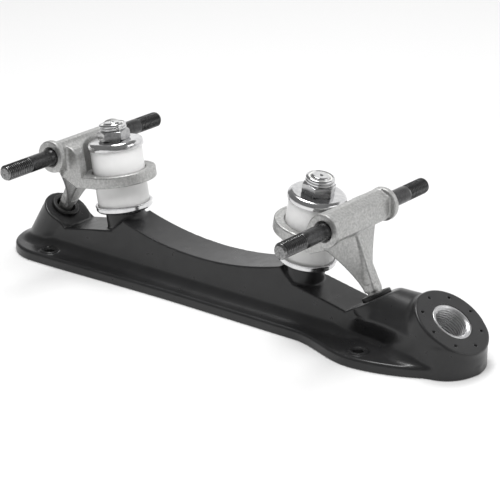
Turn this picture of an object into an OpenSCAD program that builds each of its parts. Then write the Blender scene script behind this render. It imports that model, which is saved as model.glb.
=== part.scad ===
// Quad roller skate plate: a moulded sole plate that carries two sprung steering trucks.
// Frame: +X towards the toe, +Z away from the boot, origin on the boot face midway between the axles.

/* [Layout] */
// Distance between the two axles
wheelbase = 170; // [150:1:200]
// Height of the axles above the boot face
axle_z = 60; // [56:0.5:66]
// How far each kingpin's seat lies inboard of its axle
kingpin_inset = 27.5; // [25:0.5:30]
// Outward lean of the kingpins from upright
kingpin_lean = 10; // [5:0.5:14]
// How far each pivot socket's mouth lies outboard of its axle
pivot_outset = 14.2; // [12:0.2:17]
// Height of the pivot socket's mouth
pivot_z = 23.4; // [22:0.1:27]
// Lean of the pivot sockets from upright, towards the kingpins
pivot_lean = 31; // [26:0.5:36]

/* [Sole plate] */
// Thickness of the flange
flange_t = 5; // [4:0.25:7]
// Reach of the heel end behind the rear axle
heel_reach = 41; // [38:0.5:50]
// Width of the flange at the heel
heel_w = 49; // [46:0.5:56]
// Width of the flange at the waist
waist_w = 43; // [40:0.5:48]
// Width of the flange under the ball of the foot
ball_w = 62.6; // [54:0.2:70]
// Length over which the flange swells from the waist to the ball, about the front axle
flange_swell = 38; // [30:1:44]
// Length over which the flange narrows from the heel to the waist
flange_narrow = 100; // [70:5:120]
// Fullness of the toe's oval, 2 for an ellipse
toe_power = 1.65; // [1.5:0.05:2.2]
// Width of the spine along its top
spine_w = 21; // [19:0.5:25]
// Side draft of the spine, from its top to its foot
spine_draft = 1.3; // [0.5:0.1:2.5]
// Radius of the cove between spine and flange
cove_r = 6; // [3:0.5:8]
// Height of the spine at the lowest point of its saddle
saddle_z = 22.3; // [19:0.1:26]
// Height of the spine where its saddle meets the kingpin bosses
saddle_end_z = 29.7; // [28:0.1:31]
// How far each saddle end lies inboard of the kingpin's seat
saddle_inset = 7.8; // [7:0.2:9]
// Height of the kingpin seats above the boot face
seat_z = 32; // [30:0.2:34]
// Diameter of the kingpin bosses
boss_d = 20; // [17:0.5:21]
// Fall of the deck from each boss to its pivot socket
deck_fall = 6; // [3:0.5:9]
// Radius of the round blocks that hold the pivot sockets
block_r = 12.5; // [12.2:0.1:13.5]
// How far each block's axis lies downhill of the socket's
block_shift = 2.2; // [1:0.1:3]
// How far each block's mouth stands proud of the slope around it
block_rise = 0.2; // [0.1:0.05:0.6]
// Run of each socket's slope, from its mouth down to the deck
slope_run = 12; // [11:0.5:14]

/* [Toe stop boss] */
// How far the boss face's centre lies ahead of the front axle
toe_boss_reach = 56; // [52:0.5:64]
// Height of the boss face's centre
toe_boss_z = 22; // [20:0.5:26]
// Diameter of the boss
toe_boss_d = 38; // [34:0.5:42]
// Height of the shelf that fans out to the boss
shelf_z = 19; // [15:0.5:20]
// Height of the ridge between the front pivot socket and the boss
ridge_z = 30.5; // [27:0.5:33]
// Radius of that ridge's round back beside the socket
ridge_r = 9.6; // [8:0.2:10.4]
// How far inside the boss's wall the swelling ridge ends
ridge_inset = 1.6; // [1:0.2:3]
// Rise of the toe stop's axis above level
toe_angle = 57; // [48:1:66]
// Outer diameter of the threaded insert
insert_d = 20; // [18.5:0.5:24]
// Thread diameter for the toe stop's stem
stem_d = 15.875; // [12.7:0.005:16]
// Length of the threaded insert
insert_len = 16; // [12:0.5:18]
// Countersink at the insert's mouth
insert_chamfer = 1; // [0.4:0.1:1.5]
// Radial room round the stem below the insert
stem_room = 0.6; // [0.4:0.1:1]
// Number of dimples round the boss face
dimple_count = 8; // [4:1:12]
// Diameter of the circle of dimples
dimple_pcd = 31; // [28:0.5:33]
// Diameter of a dimple
dimple_d = 1.6; // [1:0.1:2.5]
// Depth of a dimple
dimple_depth = 0.8; // [0.3:0.1:2]

/* [Boot bolts] */
// Diameter of the boot bolt holes
bolt_d = 5.2; // [4:0.1:6.2]
// Diameter of the seat round each boot bolt hole
bolt_seat_d = 10; // [8:0.5:12]
// Height of the seat above the flange
bolt_seat_h = 0.8; // [0.3:0.1:2]
// Place of the heel bolts behind the rear axle
heel_bolt_reach = 9.5; // [6:0.5:12]
// Spacing of the heel bolts
heel_bolt_gap = 35; // [34:0.5:37]
// Place of the toe bolts ahead of the front axle
toe_bolt_reach = 20; // [16:0.5:24]
// Spacing of the toe bolts
toe_bolt_gap = 46; // [42:0.5:50]

/* [Kingpin and cushions] */
// Kingpin diameter
kingpin_d = 9.525; // [8:0.005:10]
// Width across flats of the kingpin head and the lock nut
hex_af = 14.3; // [13:0.1:16]
// Height of the kingpin head
head_h = 6; // [4.5:0.5:7]
// Depth of the head's lower face inside the boot face, along the kingpin
head_depth = 2.2; // [1.8:0.1:4]
// Cushion diameter
cushion_d = 26.6; // [24:0.1:27]
// Visible height of the lower cushion and its retainer
lower_gap = 14.8; // [12:0.1:16]
// Visible height of the upper cushion
upper_gap = 11.8; // [10:0.1:13]
// Thickness of the retainers' floors
retainer_t = 1.4; // [1:0.1:2]
// Diameter of the lower retainer
lower_retainer_d = 29.4; // [28:0.1:31]
// Height of the lower retainer's turned up rim
lower_rim_h = 3.6; // [2.5:0.1:5]
// Diameter of the upper retainer
upper_retainer_d = 28.6; // [28:0.1:29.4]
// Height of the upper retainer
upper_retainer_h = 3.8; // [3:0.1:4.5]
// Depth of the cushion's seat in the upper retainer
upper_seat = 1; // [0.5:0.1:1.4]
// Height of the lock nut's hexagon
nut_h = 6.1; // [5:0.1:8]
// Height of the nut's round collar, which holds the locking ring
collar_h = 2.4; // [2:0.1:3.5]
// Diameter of the nut's round collar
collar_d = 14.1; // [12.8:0.1:14.2]
// Thickness of the nut's locking ring
lock_ring_t = 1; // [0.8:0.1:1.2]
// How far the kingpin stands out of its nut
pin_stand = 0.4; // [0.1:0.1:2]

/* [Hanger] */
// Outer diameter of the yoke ring
ring_d = 37.2; // [35.4:0.2:38.4]
// Height of the yoke ring
ring_h = 5.8; // [5.2:0.1:7.5]
// Thickness of the web between the two cushion seats
web_t = 2.8; // [2:0.1:3.6]
// Hole through the web
web_hole_d = 15; // [13:0.5:17]
// Length of the axle bar between its collar faces
bar_len = 50; // [46:0.5:56]
// Depth of the bar inboard of the axle
bar_inner = 5.9; // [5.7:0.1:6.6]
// Depth of the bar outboard of the axle
bar_outer = 4.9; // [4.8:0.1:6]
// Depth of the bar below the axle
bar_drop = 7; // [6:0.25:8]
// Height of the bar above the axle
bar_rise = 7.5; // [6.5:0.1:8]
// Height of the outer edge of the bar's sloping top face above the axle
bar_slope = 5; // [4:0.25:6]
// How far the inner edge of the sloping face lies inboard of the axle
bar_crest = 0.8; // [0.2:0.2:2]
// Width of the bar's level crest, inboard of the sloping face
crest_w = 2.5; // [1:0.1:4]
// Diameter of the bar's end collars
bar_collar_d = 16.4; // [14:0.2:18]
// Thickness of the bar's end collars
bar_collar_t = 3.2; // [2:0.1:5]
// Countersink where the axle leaves the bar
bore_chamfer = 0.9; // [0.4:0.1:1.2]
// Reach of the cheeks along the yoke ring, past the kingpin
cheek_reach = 13.5; // [11:0.5:15]
// How far out from the kingpin the cheeks start to rise
cheek_root = 9.2; // [8:0.2:11]
// How far the cheeks' outer foot lies inboard of the axle
cheek_inset = 3; // [1:0.5:5]
// Drop of the cheeks' outer foot below the foot of the bar
cheek_drop = 5; // [3:0.5:7]
// Room round the upper retainer, for the tilt of the hanger
tilt_room = 2.1; // [1.8:0.1:2.4]
// Thickness of the arm, from its inner to its outer face
arm_t = 8.4; // [7:0.2:10]
// Width of the arm's rib where it leaves the bar
arm_w = 8; // [7:0.5:14]
// Thickness of the two wings beside the arm
wing_t = 3; // [2:0.25:4]
// Diameter of the ball on the pivot pin
ball_d = 9; // [8:0.2:10]
// Diameter of the pivot pin's neck
neck_d = 7; // [6:0.2:7.6]
// Gap between the cup's flange and the arm
arm_gap = 1.5; // [1:0.1:3]
// Depth of the ball's centre below the socket's mouth
ball_depth = 5; // [4.5:0.25:7]

/* [Axle] */
// Axle diameter
axle_d = 8; // [7:1:8]
// Diameter of the axle's core inside the bar
core_d = 8.5; // [8.4:0.1:8.8]
// Stand-out of the core from each collar face
core_stand = 0.1; // [0.05:0.05:0.4]
// Length of the axle
axle_len = 115.5; // [106:0.5:126]
// Chamfer on the axle ends
axle_chamfer = 0.8; // [0.4:0.1:1.5]

/* [Pivot cup] */
// Diameter of the cup's body
cup_d = 13; // [12:0.25:14]
// Diameter of the cup's flange
cup_flange_d = 14.6; // [13.6:0.2:17]
// Height of the cup's flange above the socket's mouth
cup_flange_h = 2; // [1.2:0.1:2.5]
// Depth of the cup's body below the socket's mouth
cup_depth = 11; // [10.5:0.5:13]
// Diameter of the cup's mouth
cup_mouth_d = 10; // [9.4:0.2:11]

/* [Clearances] */
// Radial clearance of a part that slips over another
slip = 0.1; // [0.05:0.01:0.25]
// Running clearance of the pivot ball and the lock nut
running = 0.05; // [0.02:0.01:0.1]
// Gap between a cushion and the hanger's seats
seat_gap = 0.1; // [0.05:0.01:0.3]
// Radial room round a cushion in its seats
cushion_room = 0.4; // [0.2:0.05:0.6]

/* [Hidden] */
$fn = 96;
reach = 400;
eps = 0.01;
axle_x = wheelbase/2;

// Kingpin: its seat on the boss, and heights along its axis from there
seat_x = axle_x - kingpin_inset;
ring_bottom = lower_gap;
ring_top = ring_bottom + ring_h;
web_bottom = ring_bottom + (ring_h - web_t)/2;
web_top = web_bottom + web_t;
upper_bottom = ring_top + upper_gap;
upper_top = upper_bottom + upper_retainer_h;
nut_top = upper_top + nut_h + collar_h;
pin_top = nut_top + pin_stand;
head_bottom = head_depth - seat_z/cos(kingpin_lean);
head_top = head_bottom + head_h;

// Pivot: the socket's mouth, and the slope beside it down to the valley where it meets the deck
mouth_x = axle_x + pivot_outset;
slope_z = pivot_z - block_rise/cos(pivot_lean);
valley_x = mouth_x - slope_run*cos(pivot_lean);
valley_z = slope_z - slope_run*sin(pivot_lean);

// Steering axis: from the pivot ball's centre to the middle of the yoke ring
ring_mid = ring_bottom + ring_h/2;
ring_x = seat_x + ring_mid*sin(kingpin_lean);
ring_z = seat_z + ring_mid*cos(kingpin_lean);
ball_x = mouth_x + ball_depth*sin(pivot_lean);
ball_z = pivot_z - ball_depth*cos(pivot_lean);
steer_lean = atan2(ball_x - ring_x, ring_z - ball_z);

// Hanger: the arm's lean from the foot of the bar to the pivot, and its ends from there
foot_z = axle_z - bar_drop;
arm_lean = atan2(mouth_x - axle_x, foot_z - pivot_z);
arm_len = norm([mouth_x - axle_x, foot_z - pivot_z]);
arm_root = bar_drop/2;
arm_low = cup_flange_h + arm_gap;
wing_half = bar_len/2 - bar_collar_t;
seat_d = cushion_d + 2*cushion_room;
core_half = bar_len/2 + core_stand;
core_slope = (core_d - axle_d)/2;
bore_d = core_d + slip;

// Toe stop boss: its lower edge sets where the toe ends
toe_x = axle_x + toe_boss_reach;
toe_end = toe_x + toe_boss_d/2*sin(toe_angle);
ridge_end_r = toe_boss_d/2 - ridge_inset;
ridge_run = toe_x + (ridge_z - ridge_end_r - toe_boss_z)/tan(toe_angle) - mouth_x;
ridge_fall = atan2(ridge_end_r - ridge_r, ridge_run);
ridge_len = norm([ridge_run, ridge_end_r - ridge_r]);
heel_end = -axle_x - heel_reach;

// Flange: stations of the plan, from heel to toe
heel_mid = heel_end + heel_w/2;
waist_x = axle_x - flange_swell/2;
swell_x = axle_x + flange_swell/2;

black = [0.06, 0.06, 0.065];
casting = [0.72, 0.72, 0.71];
bright = [0.82, 0.82, 0.83];
oxide = [0.1, 0.1, 0.11];
urethane = [0.93, 0.92, 0.88];

// Half width of the flange along X: a round heel, a straight waist, an S to the ball, an oval toe
function ease(t) = t*t*(3 - 2*t);
function mix(a, b, t) = a + (b - a)*ease(max(0, min(1, t)));
function half_plan(x) =
  x < heel_mid ? sqrt(max(0, pow(heel_w/2, 2) - pow(x - heel_mid, 2))) :
  x < waist_x ? mix(heel_w/2, waist_w/2, (x - heel_mid)/flange_narrow) :
  x < swell_x ? mix(waist_w/2, ball_w/2, (x - waist_x)/flange_swell) :
  ball_w/2*pow(max(0, 1 - pow((x - swell_x)/(toe_end - swell_x), toe_power)), 1/toe_power);

// Stations crowd towards the two round ends
plan_steps = 90;
function station(i) = (heel_end + toe_end)/2 - (toe_end - heel_end)/2*cos(180*i/plan_steps);

// Places a part on the front kingpin, s along its axis from the seat
module on_kingpin(s) {
  translate([seat_x, 0, seat_z]) rotate([0, kingpin_lean, 0]) translate([0, 0, s]) children();
}

// Places a part on the front pivot's axis, s above the socket's mouth
module on_pivot(s) {
  translate([mouth_x, 0, pivot_z]) rotate([0, -pivot_lean, 0]) translate([0, 0, s]) children();
}

// Turns a part at the pivot from the socket's axis to the steering axis
module to_steering() {
  rotate([0, pivot_lean - steer_lean, 0]) children();
}

// Places a part on the toe stop's axis, s above the boss face
module on_toe_stop(s) {
  translate([toe_x, 0, toe_boss_z]) rotate([0, 90 - toe_angle, 0]) translate([0, 0, s]) children();
}

// Turns a front part round to the rear of the plate
module rear() {
  rotate([0, 0, 180]) children();
}

module both_ends() {
  children();
  rear() children();
}

module ring(d, bore, h) {
  difference() {
    cylinder(d = d, h = h);
    translate([0, 0, -eps]) cylinder(d = bore, h = h + 2*eps);
  }
}

module hexagon(af, h) {
  cylinder(d = af/cos(30), h = h, $fn = 6);
}

// Half of the space, on one side of a level plane
module half_space(side) {
  translate([-reach/2, -reach/2, side > 0 ? 0 : -reach]) cube(reach);
}

module flange() {
  near = [for (i = [0 : plan_steps]) [station(i), -half_plan(station(i))]];
  far = [for (i = [plan_steps - 1 : -1 : 1]) [station(i), half_plan(station(i))]];
  linear_extrude(flange_t) polygon(concat(near, far));
}

// Side view of the spine: socket slopes, decks, shoulders and the saddle between the bosses
saddle_half = seat_x - saddle_inset;
saddle_rise = saddle_end_z - saddle_z;
saddle_steps = 20;
cove_step = 10;
function deck_z(x) = valley_z + deck_fall*(valley_x - x)/(valley_x - seat_x);
function saddle_at(x) = saddle_z + saddle_rise*pow(x/saddle_half, 2);

module spine_side() {
  front = [[seat_x, deck_z(seat_x)], [valley_x, valley_z], [mouth_x, slope_z], [mouth_x, 0]];
  back = [for (i = [3 : -1 : 0]) [-front[i].x, front[i].y]];
  saddle = [for (i = [0 : saddle_steps]) let (x = saddle_half*(2*i/saddle_steps - 1)) [x, saddle_at(x)]];
  rotate([90, 0, 0]) translate([0, 0, -reach/2]) linear_extrude(reach) polygon(concat(back, saddle, front));
}

// Cross section of the spine: drafted walls that run out into the flange through a cove
module spine_section() {
  foot = spine_w/2 + spine_draft;
  cove = [for (a = [0 : cove_step : 90])
    [foot + cove_r*(1 - sin(a)), flange_t + cove_r*(1 - cos(a))]];
  right = concat([[foot + cove_r, 0]], cove, [[spine_w/2, seat_z]]);
  left = [for (i = [len(right) - 1 : -1 : 0]) [-right[i].x, right[i].y]];
  rotate([90, 0, 90]) translate([0, 0, -reach/2]) linear_extrude(reach) polygon(concat(right, left));
}

module spine() {
  intersection() {
    spine_side();
    spine_section();
  }
}

module kingpin_boss() {
  on_kingpin(-seat_z) cylinder(d = boss_d, h = seat_z);
}

// Round block along the pivot's axis, cut off at the socket's mouth
module pivot_block() {
  on_pivot(-2*pivot_z) translate([-block_shift, 0, 0]) cylinder(r = block_r, h = 2*pivot_z);
}

// Plan of the toe body: from the spine it fans out to the boss and ends in the boss's oval
oval_step = 6;
module toe_plan() {
  oval = [for (a = [-90 : oval_step : 90]) [toe_x + toe_boss_d/2*sin(toe_angle)*cos(a), toe_boss_d/2*sin(a)]];
  polygon(concat(oval, [[valley_x, spine_w/2 + spine_draft], [valley_x, -spine_w/2 - spine_draft]]));
}

// Toe body: a shelf that fans out, a round ridge that swells from the pivot block to the boss, and the boss
module toe_body() {
  intersection() {
    union() {
      linear_extrude(shelf_z) toe_plan();
      translate([mouth_x, 0, ridge_z - ridge_r]) rotate([0, 90 + ridge_fall, 0])
        cylinder(r1 = ridge_r, r2 = ridge_end_r, h = ridge_len);
      on_toe_stop(-toe_boss_d) cylinder(d = toe_boss_d, h = toe_boss_d);
      pivot_block();
    }
    on_pivot(0) half_space(-1);
    on_toe_stop(0) half_space(-1);
  }
}

// Level centres of the boot bolts
bolts = [for (s = [-1, 1]) each [[-axle_x - heel_bolt_reach, s*heel_bolt_gap/2],
  [axle_x + toe_bolt_reach, s*toe_bolt_gap/2]]];

module plate_body() {
  intersection() {
    union() {
      flange();
      spine();
      both_ends() kingpin_boss();
      rear() pivot_block();
      toe_body();
      for (b = bolts) translate([b.x, b.y, 0]) cylinder(d = bolt_seat_d, h = flange_t + bolt_seat_h);
    }
    half_space(1);
  }
}

module kingpin_hole() {
  on_kingpin(head_top - eps) cylinder(d = kingpin_d + 2*slip, h = reach);
  on_kingpin(head_top - reach) hexagon(hex_af + 2*slip, reach);
}

module pivot_socket() {
  on_pivot(-cup_depth) cylinder(d = cup_d, h = reach);
}

module toe_bore() {
  on_toe_stop(-insert_len) cylinder(d = insert_d, h = reach);
  on_toe_stop(-reach) cylinder(d = stem_d + 2*stem_room, h = reach);
}

// Dimples round the boss face, spread evenly from its plane of symmetry
module dimples() {
  for (i = [0 : dimple_count - 1]) on_toe_stop(-dimple_depth) rotate(360*i/dimple_count)
    translate([dimple_pcd/2, 0, 0]) cylinder(d = dimple_d, h = dimple_depth + eps);
}

module plate() {
  color(black) difference() {
    plate_body();
    both_ends() kingpin_hole();
    both_ends() pivot_socket();
    toe_bore();
    dimples();
    for (b = bolts) translate([b.x, b.y, -eps]) cylinder(d = bolt_d, h = reach);
  }
}

// Threaded insert for the toe stop's stem, flush with the boss face
module toe_stop_insert() {
  color(bright) on_toe_stop(-insert_len) difference() {
    cylinder(d = insert_d, h = insert_len);
    translate([0, 0, -eps]) cylinder(d = stem_d, h = insert_len + 2*eps);
    translate([0, 0, insert_len - insert_chamfer])
      cylinder(d1 = stem_d, d2 = stem_d + 2*insert_chamfer + 2*eps, h = insert_chamfer + eps);
  }
}

// Kingpin bolt, its head let into the boot face
module kingpin() {
  color(bright) {
    on_kingpin(head_bottom) hexagon(hex_af, head_h);
    on_kingpin(head_top - eps) cylinder(d = kingpin_d, h = pin_top - head_top + eps);
  }
}

// Cup washer under the lower cushion, its rim turned up
module lower_retainer() {
  color(bright) on_kingpin(0) difference() {
    union() {
      cylinder(d1 = lower_retainer_d - 2*retainer_t, d2 = lower_retainer_d, h = retainer_t);
      translate([0, 0, retainer_t - eps]) cylinder(d = lower_retainer_d, h = lower_rim_h - retainer_t + eps);
    }
    translate([0, 0, retainer_t]) cylinder(d = cushion_d + 2*slip, h = lower_rim_h);
    translate([0, 0, -eps]) cylinder(d = kingpin_d + 2*slip, h = lower_rim_h);
  }
}

module lower_cushion() {
  top = web_bottom - seat_gap;
  color(urethane) on_kingpin(retainer_t) ring(cushion_d, kingpin_d + 2*slip, top - retainer_t);
}

module upper_cushion() {
  low = web_top + seat_gap;
  color(urethane) on_kingpin(low) ring(cushion_d, kingpin_d + 2*slip, upper_bottom + upper_seat - low);
}

// Cap washer over the upper cushion
module upper_retainer() {
  color(bright) on_kingpin(upper_bottom) difference() {
    cylinder(d = upper_retainer_d, h = upper_retainer_h);
    translate([0, 0, -eps]) cylinder(d = cushion_d + 2*slip, h = upper_seat + eps);
    translate([0, 0, -eps]) cylinder(d = kingpin_d + 2*slip, h = upper_retainer_h + 2*eps);
  }
}

// Lock nut: a hexagon with a round collar that holds the locking ring
lock_ring_d = kingpin_d + 2*lock_ring_t;
module lock_nut() {
  color(bright) on_kingpin(upper_top) difference() {
    union() {
      hexagon(hex_af, nut_h);
      cylinder(d = collar_d, h = nut_h + collar_h);
    }
    translate([0, 0, -eps]) cylinder(d = kingpin_d + 2*running, h = nut_h + collar_h + 2*eps);
    translate([0, 0, nut_h]) cylinder(d = lock_ring_d, h = collar_h + eps);
  }
}

module nut_ring() {
  color(urethane) on_kingpin(upper_top + nut_h) ring(lock_ring_d, kingpin_d + 2*running, collar_h);
}

// Pivot cup: a soft bush with a round floor for the pivot ball, its flange standing proud
module pivot_cup() {
  color(black) on_pivot(0) difference() {
    union() {
      translate([0, 0, -cup_depth]) cylinder(d = cup_d, h = cup_depth + eps);
      cylinder(d = cup_flange_d, h = cup_flange_h);
    }
    translate([0, 0, -ball_depth]) to_steering() sphere(d = ball_d + 2*running);
    translate([0, 0, -ball_depth]) cylinder(d1 = ball_d + 2*running, d2 = cup_mouth_d, h = ball_depth);
    cylinder(d = cup_mouth_d, h = cup_flange_h + eps);
  }
}

// Cross section of the axle bar, with its sloping top face
module bar_section() {
  polygon([[-bar_inner, -bar_drop], [bar_outer, -bar_drop], [bar_outer, bar_slope], [-bar_crest, bar_rise],
    [-bar_crest - crest_w, bar_rise], [-bar_inner, bar_slope]]);
}

module along_y(len) {
  rotate([90, 0, 0]) translate([0, 0, -len/2]) linear_extrude(len) children();
}

module bar() {
  translate([axle_x, 0, axle_z]) {
    along_y(bar_len - eps) bar_section();
    for (s = [-1, 1]) translate([0, s*(bar_len - bar_collar_t)/2, 0])
      rotate([90, 0, 0]) cylinder(d = bar_collar_d, h = bar_collar_t, center = true);
  }
}

// Places a part along the arm, z from the pivot's mouth up to the bar and +X outwards
module on_arm() {
  translate([mouth_x, 0, pivot_z]) rotate([0, -arm_lean, 0]) children();
}

// Outline of a limb of the arm, between its two sides at the pivot and at the foot of the bar
module taper(low, foot) {
  polygon([[low[0], arm_low], [low[1], arm_low], [foot[1], arm_len], [foot[1], arm_len + arm_root],
    [foot[0], arm_len + arm_root], [foot[0], arm_len]]);
}

// Limb of the arm: half widths at the pivot and at the foot, and its inner and outer sides there
module limb(low_half, foot_half, low, foot) {
  on_arm() intersection() {
    rotate([0, 0, 90]) along_y(reach) taper([-low_half, low_half], [-foot_half, foot_half]);
    along_y(reach) taper(low, foot);
  }
}

// Arm and the two wings, which lie along its inner face
module arm() {
  neck = neck_d/2;
  limb(neck, arm_w/2, [-neck, neck], [-arm_t/2, arm_t/2]);
  limb(neck, wing_half, [-neck, wing_t - neck], [-arm_t/2, wing_t - arm_t/2]);
}

module pivot_pin() {
  on_pivot(-ball_depth) to_steering() sphere(d = ball_d);
  on_pivot(-ball_depth) cylinder(d = neck_d, h = ball_depth + arm_low + neck_d/2);
}

// Point of the kingpin's plane, r outboard of the axis and s along it from the seat
function kingpin_point(r, s) = [seat_x + s*sin(kingpin_lean) + r*cos(kingpin_lean),
  seat_z + s*cos(kingpin_lean) - r*sin(kingpin_lean)];

// Cheeks: the yoke ring runs on to the bar and sweeps up its inner face on an arc
sweep_step = 15;
module cheeks() {
  root = kingpin_point(cheek_root, ring_top);
  top = [axle_x - bar_inner, axle_z + bar_slope];
  sweep = [for (a = [0 : sweep_step : 90]) [root.x + (top.x - root.x)*(1 - cos(a)),
    root.y + (top.y - root.y)*sin(a)]];
  along_y(ring_d) polygon(concat([kingpin_point(0, ring_top)], sweep, [[axle_x, axle_z + bar_slope],
    [axle_x, foot_z], [axle_x - cheek_inset, foot_z - cheek_drop], kingpin_point(cheek_reach, ring_bottom),
    kingpin_point(0, ring_bottom)]));
}

// Bore for the axle's core, countersunk at both ends
module axle_bore() {
  translate([axle_x, 0, axle_z]) rotate([90, 0, 0]) {
    cylinder(d = bore_d, h = 2*bar_len, center = true);
    for (s = [0, 1]) mirror([0, 0, s]) translate([0, 0, bar_len/2 - bore_chamfer])
      cylinder(d1 = bore_d, d2 = bore_d + 2*bore_chamfer + 2*eps, h = bore_chamfer + eps);
  }
}

// Cast hanger: the yoke ring, the axle bar, the winged arm and the pivot pin
module hanger() {
  color(casting) difference() {
    union() {
      on_kingpin(ring_bottom) cylinder(d = ring_d, h = ring_h);
      cheeks();
      bar();
      arm();
      pivot_pin();
    }
    on_kingpin(web_top) cylinder(d = seat_d, h = ring_h);
    on_kingpin(ring_top) cylinder(d = upper_retainer_d + 2*tilt_room, h = reach);
    on_kingpin(web_bottom - ring_h) cylinder(d = seat_d, h = ring_h);
    on_kingpin(0) cylinder(d = web_hole_d, h = upper_top);
    axle_bore();
  }
}

// Turned axle: a thicker core in the bar, a stud on each side and chamfered tips
module axle() {
  half = [[core_d/2, core_half], [axle_d/2, core_half + core_slope], [axle_d/2, axle_len/2 - axle_chamfer],
    [axle_d/2 - axle_chamfer, axle_len/2], [0, axle_len/2]];
  lower_half = [for (i = [len(half) - 1 : -1 : 0]) [half[i].x, -half[i].y]];
  color(oxide) translate([axle_x, 0, axle_z]) rotate([90, 0, 0])
    rotate_extrude() polygon(concat(lower_half, half));
}

plate();
toe_stop_insert();
kingpin();  // front_kingpin
pivot_cup();  // front_pivot_cup
lower_retainer();  // front_lower_retainer
lower_cushion();  // front_lower_cushion
upper_cushion();  // front_upper_cushion
upper_retainer();  // front_upper_retainer
lock_nut();  // front_lock_nut
nut_ring();  // front_nut_ring
hanger();  // front_hanger
axle();  // front_axle
rear() kingpin();  // rear_kingpin
rear() pivot_cup();  // rear_pivot_cup
rear() lower_retainer();  // rear_lower_retainer
rear() lower_cushion();  // rear_lower_cushion
rear() upper_cushion();  // rear_upper_cushion
rear() upper_retainer();  // rear_upper_retainer
rear() lock_nut();  // rear_lock_nut
rear() nut_ring();  // rear_nut_ring
rear() hanger();  // rear_hanger
rear() axle();  // rear_axle
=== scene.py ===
# %% [markdown]
# # A quad roller skate plate
# The object is the chassis that is bolted under a boot: a black moulded sole plate, and on it two cast
# trucks that steer when the skater leans. Every truck hangs between a ball in a rubber cup and a pair of
# white cushions on a kingpin. The solids of the frame already have the right places and sizes. This
# lesson gives each piece the shape and finish that it shows from close by.

from math import atan2, cos, pi, radians, sin

import bmesh
import bpy
import numpy as np
from mathutils import Matrix


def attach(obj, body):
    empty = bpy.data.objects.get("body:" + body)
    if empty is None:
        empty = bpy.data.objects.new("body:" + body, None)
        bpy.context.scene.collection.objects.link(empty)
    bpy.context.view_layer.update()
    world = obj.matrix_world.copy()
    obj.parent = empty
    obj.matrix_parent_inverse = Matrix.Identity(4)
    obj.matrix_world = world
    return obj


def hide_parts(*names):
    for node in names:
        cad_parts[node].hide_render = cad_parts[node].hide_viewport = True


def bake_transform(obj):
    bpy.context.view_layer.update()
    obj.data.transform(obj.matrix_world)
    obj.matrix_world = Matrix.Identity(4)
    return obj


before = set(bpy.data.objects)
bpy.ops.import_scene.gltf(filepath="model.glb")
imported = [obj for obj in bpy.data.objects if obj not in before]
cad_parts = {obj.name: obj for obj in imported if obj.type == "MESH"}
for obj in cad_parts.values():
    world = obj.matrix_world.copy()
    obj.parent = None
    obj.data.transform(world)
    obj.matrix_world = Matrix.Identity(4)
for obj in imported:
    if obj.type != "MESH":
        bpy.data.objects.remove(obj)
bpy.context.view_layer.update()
MM = 0.001

# %% [markdown]
# ## Camera
# A product photo like this one is taken with a long lens from a little above, which keeps the two axles
# almost parallel. The lens and the angles were found by matching the axle ends, the washers and the
# outline of the flange, so the camera is written down as those few numbers.

# %% Camera
AZIMUTH, ELEVATION, ROLL = radians(37.9), radians(21.1), radians(0.33)
LOOK_AT, DISTANCE, LENS = (0.02338, 0.0, 0.02863), 1.0399, 153.3


def add_object(name, data):
    """A new object in the scene, at the origin, that holds the data."""
    made = bpy.data.objects.new(name, data)
    bpy.context.scene.collection.objects.link(made)
    return made


def standing(place, back, right):
    """Matrix of a camera or lamp: its columns are right, back cross right, back and the place."""
    matrix = np.eye(4)
    matrix[:3, 0], matrix[:3, 1], matrix[:3, 2] = right, np.cross(back, right), back
    matrix[:3, 3] = place
    return Matrix(matrix.tolist())


def photo_camera():
    """Its back axis is (sin a cos e, -cos a cos e, sin e); its level axis (cos a, sin a, 0) is rolled."""
    back = np.array([sin(AZIMUTH)*cos(ELEVATION), -cos(AZIMUTH)*cos(ELEVATION), sin(ELEVATION)])
    level = np.array([cos(AZIMUTH), sin(AZIMUTH), 0.0])
    right = cos(ROLL)*level + sin(ROLL)*np.cross(back, level)
    made = add_object("camera", bpy.data.cameras.new("camera"))
    made.data.lens = LENS
    made.data.sensor_width = 36.0
    made.data.clip_end = 20.0
    made.matrix_world = standing(np.array(LOOK_AT) + back*DISTANCE, back, right)
    return made


camera = photo_camera()
bpy.context.scene.camera = camera
print("camera at", [round(v, 3) for v in camera.matrix_world.translation])

# %% [markdown]
# ## The main sizes
# These are the lines that the truck is built on, in millimetres: where the kingpin leaves its seat, where
# the pivot socket opens and how both lean, and where the axle crosses. The rear truck is the front one
# turned half round, so each piece is worked out once and turned.

# %% Axes of the front truck
KING, KING_LEAN = (57.5, 32.0), radians(10)
MOUTH, PIVOT_LEAN = (99.2, 23.4), radians(31)
TOE, TOE_LEAN = (141.0, 22.0), radians(33)
KING_AXIS, PIVOT_AXIS, TOE_AXIS = (KING, KING_LEAN), (MOUTH, -PIVOT_LEAN), (TOE, TOE_LEAN)
AXLE = (85.0, 60.0)
ENDS = (("front", 1.0), ("rear", -1.0))


def along(x, z, origin, lean):
    """Height along an axis that leans towards +X, and distance out from it in the X-Z plane."""
    u, w = x - origin[0], z - origin[1]
    return u*np.sin(lean) + w*np.cos(lean), u*np.cos(lean) - w*np.sin(lean)


def on_axis(points, origin, lean):
    """Local points (out, side, up) stood on a leaning axis: up goes along it, out goes square to it."""
    out, side, up = points[..., 0], points[..., 1], points[..., 2]
    x = origin[0] + up*np.sin(lean) + out*np.cos(lean)
    z = origin[1] + up*np.cos(lean) - out*np.sin(lean)
    return np.stack([x, side, z], -1)


def turned_round(points, end):
    """The rear copy is the front one turned half round the upright axis: x and y change sign."""
    return points*np.array([end, end, 1.0])


print("kingpin leans", round(np.degrees(KING_LEAN)), "degrees, pivot", round(np.degrees(PIVOT_LEAN)))

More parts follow.
